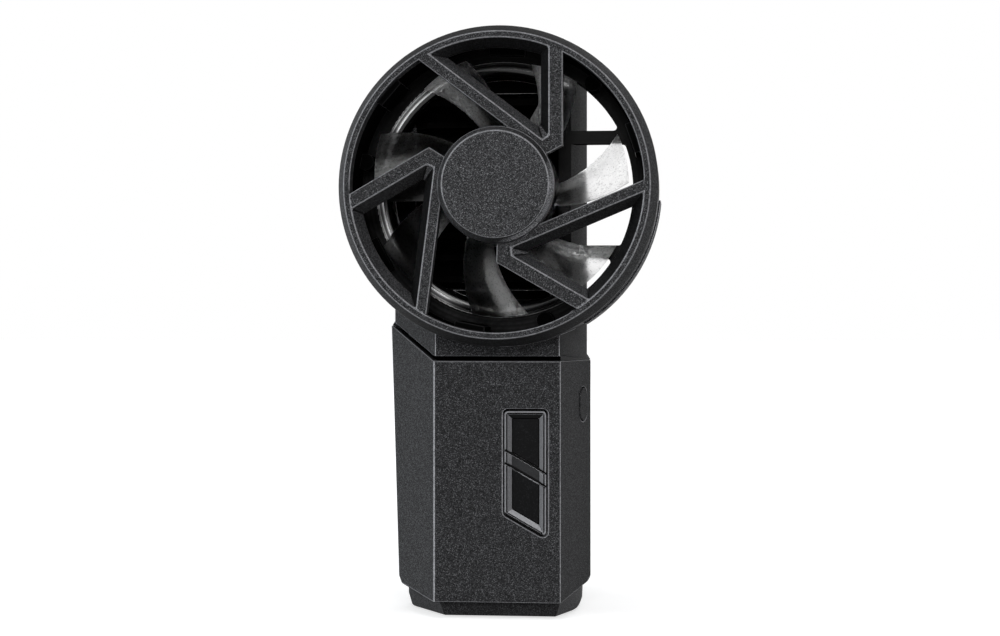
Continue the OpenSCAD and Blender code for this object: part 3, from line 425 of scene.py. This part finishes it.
def pane(name, base):
    """Glossy black pane with a few fine specks under its face."""
    t = Tree(name)
    grit = t.cells(FLECKS)
    n = t.noise(900)
    t.colour(t.ramp(grit, [(0.0, base * 0.7), (0.85, base), (1.0, base * 3.0)]), (0.97, 0.97, 1.06))
    t.surface(0.12, 0.04, n, 0.05)
    return t.mat


def lip(name, base):
    """Polished lip with painted highlights: two pale lines round it, brighter in broad streaks."""
    t = Tree(name)
    fine = t.noise(GRAIN)
    glints = t.ramp(t.noise(150, 0.0), [(0.35, base * 0.2), (0.5, base), (0.62, base * 3.5)])
    t.colour(t.times(glints, t.over(t.radius(), LIP_SPAN, LIP_HIGHLIGHTS)), (1, 1, 1))
    t.surface(0.2, 0.04, fine, 0.4)
    return t.mat


def ledge(name, rough):
    """Black gloss with faint painted highlight lines round the mouth, plainer towards the top."""
    t = Tree(name)
    fine = t.noise(1800)
    lines = t.over(t.radius(), LEDGE_SPAN, LEDGE_HIGHLIGHTS)
    lines = t.times(lines, t.over(t.axis("Object", Z), (-0.02, 0.02), [(-0.01, 1.0), (0.004, 0.3)]))
    lines = t.times(lines, t.span(fine, 0.3, 0.7, 0.6, 1.4))
    t.colour(t.most(lines, 0.002))
    t.surface(rough, 0.05, fine, 0.05)
    return t.mat


def smoked(name, tint, rough):
    """Smoke-grey clear moulding with a painted sheen in fine specks that gathers towards the rear edge of
    each blade and fades near the hub; painted shade makes it darker at the lower left."""
    t = Tree(name)
    n = t.noise(4200, 2.0, 0.6)
    grit = t.cells(6000)
    shade = t.over(t.plus(t.axis("Object", X), t.axis("Object", Z)), SHADE_SPAN, BLADE_SHADE)
    sheen = t.ramp(t.chord(BLADES, BLADE_START, BLADE_SWEEP), BLADE_SHEEN)
    sheen = t.times(sheen, t.over(t.radius(), BLADE_SPAN, BLADE_FADE))
    sheen = t.times(sheen, t.ramp(grit, SHEEN_SPECKS))
    sheen = t.times(sheen, shade)
    smoke = t.ramp(grit, [(0.0, tint * 0.5), (0.3, tint * 0.95), (1.0, tint)])
    t.colour(t.times(smoke, shade), (1, 1, 1))
    t.surface(rough, 0.06, n, 0.5)
    t.link(t.less(1.0, sheen), t.bsdf.inputs["Transmission Weight"])
    t.bsdf.inputs["IOR"].default_value = 1.07
    t.bump(grit, 0.3, 0.00005)
    return t.mat


def metal(name, colour, rough, stretch=(1, 1, 1), scale=2500):
    """Metal with fine marks, brushed along the axis with the least stretch."""
    t = Tree(name)
    n = t.noise(scale, 3.0, 0.6, stretch)
    t.colour(t.ramp(n, [(0.3, tuple(v * 0.8 for v in colour)), (0.7, colour)]), (1, 1, 1))
    t.bsdf.inputs["Metallic"].default_value = 1.0
    t.surface(rough, 0.07, n, 0.5)
    t.bump(n, 0.15, 0.00004)
    return t.mat


# Materials

SHELL = grained("shell_grained", 0.0337, shell_side)
HUB = grained("hub_grained", 0.0486, hub_side)
GRILLE = grained("grille_grained", 0.038, ring_side)
HOUSING = grained("housing_grained", 0.032, neck_side)
JAW = grained("jaw_grained", 0.0132, 0.034)
# Painted highlights on the bevelled edges
EDGE = edge("shell_edge", 0.27, UPRIGHT)
HOUSING_EDGE = edge("housing_edge", 0.36, UPRIGHT, outside=True)
GRILLE_EDGE = edge("grille_edge", 0.2, ROUND, ahead=RING_FRONT)
HUB_EDGE = edge("hub_edge", 0.2, RIM)
INSERT_EDGE = insert_edge("insert_edge", 0.3)
BEZEL = insert("bezel_light_and_shade")
# Near black: the own colour of the magnet and the switch, and painted shade inside the drum, the groove, the
# room below the drum and behind the grille's ring
BLACK_AND_SHADE = plain_moulding("black_and_painted_shade", 0.0018, 0.5, level=0.0)
GLOSS = plain_moulding("mouth_gloss", 0.002, 0.16, 1800, 0.05, level=0.35)
LEDGE = ledge("ledge_painted_lines", 0.35)
LIP = lip("mouth_lip", 0.34)
LENS = pane("lens_gloss", 0.0045)
BLADE = smoked("blade_smoked", 0.99, 0.38)
RUBBER = plain_moulding("pad_rubber", 0.014, 0.75, 2600, 0.6)
FOAM = plain_moulding("gasket_foam", 0.02, 0.9, 1500, 0.9)
FIN = plain_moulding("fin_anodised", 0.002, 0.5, 3000, 0.2, level=0.0)
PLATE = metal("plate_brushed", (0.62, 0.63, 0.65), 0.32, (1, 10, 40))
STEEL = metal("steel_bright", (0.58, 0.58, 0.6), 0.28)
BRASS = metal("bush_bronze", (0.6, 0.42, 0.18), 0.35)
COPPER = metal("coil_copper", (0.6, 0.24, 0.09), 0.35, (1, 1, 12), 1200)
BOARD = plain_moulding("board_base", 0.06, 0.4, level=0.5, tint=(0.2, 1.0, 0.45))
CERAMIC = plain_moulding("module_ceramic", 0.62, 0.6, level=0.5)
LED = plain_moulding("led_clear", 0.6, 0.2, level=0.5, tint=(1, 0.96, 0.75))

# Slots of a dressed node: faces, edges with painted highlights, black places of painted shade, the ledge's
# painted highlight lines; on the motor frame the lip's painted highlight

FACE, EDGE_HIGHLIGHT, PAINTED_SHADE, LEDGE_HIGHLIGHT = range(4)
LIP_HIGHLIGHT = 1

# Distances within which points are welded, wider where a solid has slivers

WELD = 1e-6
WIDE_WELD = 0.00003


def dress(name, mats, bevel=0.0, edge_slot=None, angle=25.0, weld=WELD, pick=None, smooth=True):
    """Gives a CAD node its materials and narrow bevels; pick chooses the slot of a face."""
    o = nodes[name]
    o.data.materials.clear()
    for m in mats:
        o.data.materials.append(m)
    for p in o.data.polygons:
        p.material_index = pick(p.center, p.normal) if pick else FACE
        p.use_smooth = smooth
    w = o.modifiers.new("weld", "WELD")
    w.merge_threshold = weld
    d = o.modifiers.new("planar", "DECIMATE")
    d.decimate_type = "DISSOLVE"
    d.angle_limit = math.radians(0.6)
    d.delimit = {"MATERIAL"}
    if bevel:
        b = o.modifiers.new("edge", "BEVEL")
        b.width = bevel
        b.segments = 2
        b.limit_method = "ANGLE"
        b.angle_limit = math.radians(angle)
        b.use_clamp_overlap = False
        if edge_slot is not None:
            b.material = edge_slot
    n = o.modifiers.new("normals", "WEIGHTED_NORMAL")
    n.keep_sharp = False
    n.weight = 80


def housing_part(c, n):
    """Slot of a face of the housing: black as painted shade inside the drum, the room below it and the
    groove, painted highlight lines on the ledge behind the mouth."""
    inward = c.x * n.x + c.z * n.z < 0.0001 and n.y < 0.5
    drum = inward and math.hypot(c.x, c.z) < DRUM_REACH and c.y < DRUM_BACK
    room = inward and ROOM_LEFT < c.x < ROOM_RIGHT and c.z > ROOM_FOOT and c.y < ROOM_BACK
    line = GROOVE_TOP + GROOVE_SLANT * max(0.0, GROOVE_CORNER - c.x)
    groove = c.z < line and c.x < GROOVE_RIGHT and c.y < GROOVE_BACK
    if drum and n.y < -0.9 and c.y > LEDGE_FRONT:
        return LEDGE_HIGHLIGHT
    return PAINTED_SHADE if drum or groove or room else FACE


def grille_part(c, n):
    """Slot of a face of the grille: black as painted shade behind its ring and on the hooks' fronts."""
    behind = c.y > GRILLE_BACK and math.hypot(c.x, c.z) < GRILLE_REACH and n.y < 0.5
    hook = c.y > HOOK_FRONT and n.y < -0.99
    return PAINTED_SHADE if behind or hook else FACE


def frame_part(c, n):
    """Slot of a face of the motor frame: a painted highlight on the outer half of the mouth's lip."""
    return LIP_HIGHLIGHT if LIP_IN < math.hypot(c.x, c.z) < LIP_OUT and c.y < LIP_FRONT else FACE


# Pieces in view

dress("front_grille", [GRILLE, GRILLE_EDGE, BLACK_AND_SHADE], 0.00012, EDGE_HIGHLIGHT, weld=WIDE_WELD, pick=grille_part)
dress("hub_cap", [HUB, HUB_EDGE], 0.00012, EDGE_HIGHLIGHT)
dress("fan_housing", [HOUSING, HOUSING_EDGE, BLACK_AND_SHADE, LEDGE], 0.00007, EDGE_HIGHLIGHT, angle=40.0, weld=WIDE_WELD,
      pick=housing_part)
dress("front_cover", [SHELL, EDGE], 0.00015, EDGE_HIGHLIGHT, weld=WIDE_WELD)
dress("back_cover", [SHELL, EDGE], 0.0001)
dress("lower_jaw", [JAW, EDGE], 0.00013, EDGE_HIGHLIGHT)
dress("upper_jaw", [SHELL, EDGE], 0.0002)
dress("motor_frame", [GLOSS, LIP], 0.00004, weld=WIDE_WELD, pick=frame_part)
dress("impeller", [BLADE])
dress("heat_sink", [FIN], 0.00005)
dress("indicator_bezel", [BEZEL, INSERT_EDGE], 0.000025, EDGE_HIGHLIGHT)
for name in ("upper_indicator_lens", "lower_indicator_lens"):
    dress(name, [LENS, INSERT_EDGE], 0.00009, EDGE_HIGHLIGHT, smooth=False)
dress("power_button", [SHELL, EDGE], 0.0001)
dress("cold_plate", [PLATE], 0.00015)
for name in ("lower_jaw_pad", "upper_jaw_pad"):
    dress(name, [RUBBER], 0.0002)

# Pieces of one plain material

dress("foam_gasket", [FOAM])
for name in ("rotor_shaft", "retaining_clip", "guide_rods", "rod_clips", "rotor_yoke", "stator_core",
             "return_springs", "charging_socket", "board_screws", "jaw_screws", "cover_screws"):
    dress(name, [STEEL])
for name in ("shaft_bearing", "rod_bushes"):
    dress(name, [BRASS])
dress("stator_coils", [COPPER])
for name in ("rotor_magnet", "tact_switch"):
    dress(name, [BLACK_AND_SHADE])
dress("peltier_module", [CERAMIC])
dress("indicator_leds", [LED])
for name in ("control_board", "button_board", "power_board", "motor_board"):
    dress(name, [BOARD])

# Springs shown as a copy of their own on the housing, in place of the CAD node

springs = bpy.data.objects.new("springs_shown", nodes["return_springs"].data.copy())
scene.collection.objects.link(springs)
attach(springs, "housing")
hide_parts("return_springs")
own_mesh(springs)


# Light

def lamp(name, size, place, power, tint=(1, 1, 1)):
    """Area lamp aimed at the middle of the object."""
    light = bpy.data.lights.new(name, "AREA")
    light.shape = "RECTANGLE"
    light.size, light.size_y = size
    light.energy = power
    light.color = tint
    o = bpy.data.objects.new(name, light)
    scene.collection.objects.link(o)
    o.location = place
    o.rotation_euler = (LAMP_AIM - o.location).to_track_quat("-Z", "Y").to_euler()


lamp("front", (0.4, 0.3), (0.1, -0.85, 0.28), 3.4)
lamp("left", (0.06, 0.4), (-0.6, -0.25, 0.1), 2.1, (0.93, 1.0, 1.03))
lamp("right", (0.06, 0.4), (0.55, -0.3, 0.15), 0.6)
lamp("top", (0.3, 0.08), (0.0, -0.2, 0.6), 1.0)
lamp("back", (0.4, 0.3), (0.2, 0.8, 0.4), 2.0)


def shown(tree):
    """1 on the rays that show a background: straight, mirrored or through clear pieces."""
    path = tree.nodes.new("ShaderNodeLightPath")
    value = path.outputs["Is Camera Ray"]
    for ray in ("Is Glossy Ray", "Is Transmission Ray"):
        m = tree.nodes.new("ShaderNodeMath")
        m.operation = "MAXIMUM"
        tree.links.new(value, m.inputs[0])
        tree.links.new(path.outputs[ray], m.inputs[1])
        value = m.outputs[0]
    return value


def background(tree, colour, strength):
    b = tree.nodes.new("ShaderNodeBackground")
    b.inputs["Color"].default_value = (*colour, 1)
    b.inputs["Strength"].default_value = strength
    return b.outputs[0]


# World: soft light on the object, white where it is seen

world = bpy.data.worlds.new("studio")
scene.world = world
world.use_nodes = True
sky = world.node_tree
sky.nodes.clear()
sky_out = sky.nodes.new("ShaderNodeOutputWorld")
sky_mix = sky.nodes.new("ShaderNodeMixShader")
sky.links.new(shown(sky), sky_mix.inputs[0])
sky.links.new(background(sky, (0.95, 0.97, 1.0), 0.3), sky_mix.inputs[1])
sky.links.new(background(sky, (1, 1, 1), 1.0), sky_mix.inputs[2])
sky.links.new(sky_mix.outputs[0], sky_out.inputs[0])

# Floor, which goes down with the lower jaw that stands on it

floor_mesh = bpy.data.meshes.new("floor")
level = cad_low[2] - FLOOR_GAP
corners = [(x * FLOOR_HALF, y * FLOOR_HALF, level) for x, y in ((-1, -1), (1, -1), (1, 1), (-1, 1))]
floor_mesh.from_pydata(corners, [], [(0, 1, 2, 3)])
floor = bpy.data.objects.new("floor", floor_mesh)
scene.collection.objects.link(floor)
white = Tree("floor_white")
white.bsdf.inputs["Base Color"].default_value = (0.6, 0.6, 0.6, 1)
white.bsdf.inputs["Roughness"].default_value = 0.9
white.bsdf.inputs["Specular IOR Level"].default_value = 0.1
white.bsdf.inputs["Emission Color"].default_value = (1, 1, 1, 1)
away = white.new("VectorMath")
away.operation = "LENGTH"
white.link(white.coord.outputs["Object"], away.inputs[0])
glow = white.times(shown(white.nt), white.span(away.outputs["Value"], 0.06, 0.3, 0.62, 0.85))
white.link(glow, white.bsdf.inputs["Emission Strength"])
floor_mesh.materials.append(white.mat)
floor.parent = frame["bodies"]["clamp_jaw"]

# Camera

lens = bpy.data.cameras.new("camera")
lens.sensor_width = 36.0
lens.lens = CAMERA_LENS
lens.clip_start = 0.01
camera = bpy.data.objects.new("camera", lens)
scene.collection.objects.link(camera)
camera.location = CAMERA_AIM + CAMERA_FAR * Vector((math.sin(CAMERA_YAW), -math.cos(CAMERA_YAW), 0))
camera.rotation_euler = (math.radians(90), 0, CAMERA_YAW)
scene.camera = camera
